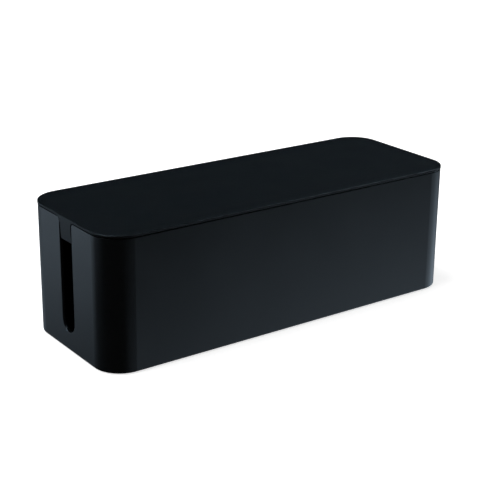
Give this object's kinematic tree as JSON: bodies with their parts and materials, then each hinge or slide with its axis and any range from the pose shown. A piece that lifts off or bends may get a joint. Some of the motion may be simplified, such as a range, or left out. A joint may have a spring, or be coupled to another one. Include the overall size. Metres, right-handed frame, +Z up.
{
  "type": "cable management box",
  "caption": "Long rounded box with a lift-off lid and a cable slot in each end, which hides a power strip and its leads.",
  "frame": {"origin": "on the table, under the middle of the box", "axes": "+X along the box towards its right end, +Y towards its back, +Z up"},
  "size_m": [0.4, 0.148, 0.129],
  "materials": {
    "tub_plastic": "satin black, fine moulded grain",
    "lid_plastic": "satin black, fine moulded grain",
    "foot_rubber": "matt black"
  },
  "bodies": {
    "tub": {"box_body": "tub_plastic", "foot_front_left": "foot_rubber", "foot_front_right": "foot_rubber", "foot_back_left": "foot_rubber", "foot_back_right": "foot_rubber"},
    "lid": {"lid": "lid_plastic"}
  },
  "joints": [
    {"name": "lid_lift", "type": "slide", "parent": "tub", "child": "lid", "axis": [0, 0, 1], "range_m": [0, 0.08]}
  ]
}
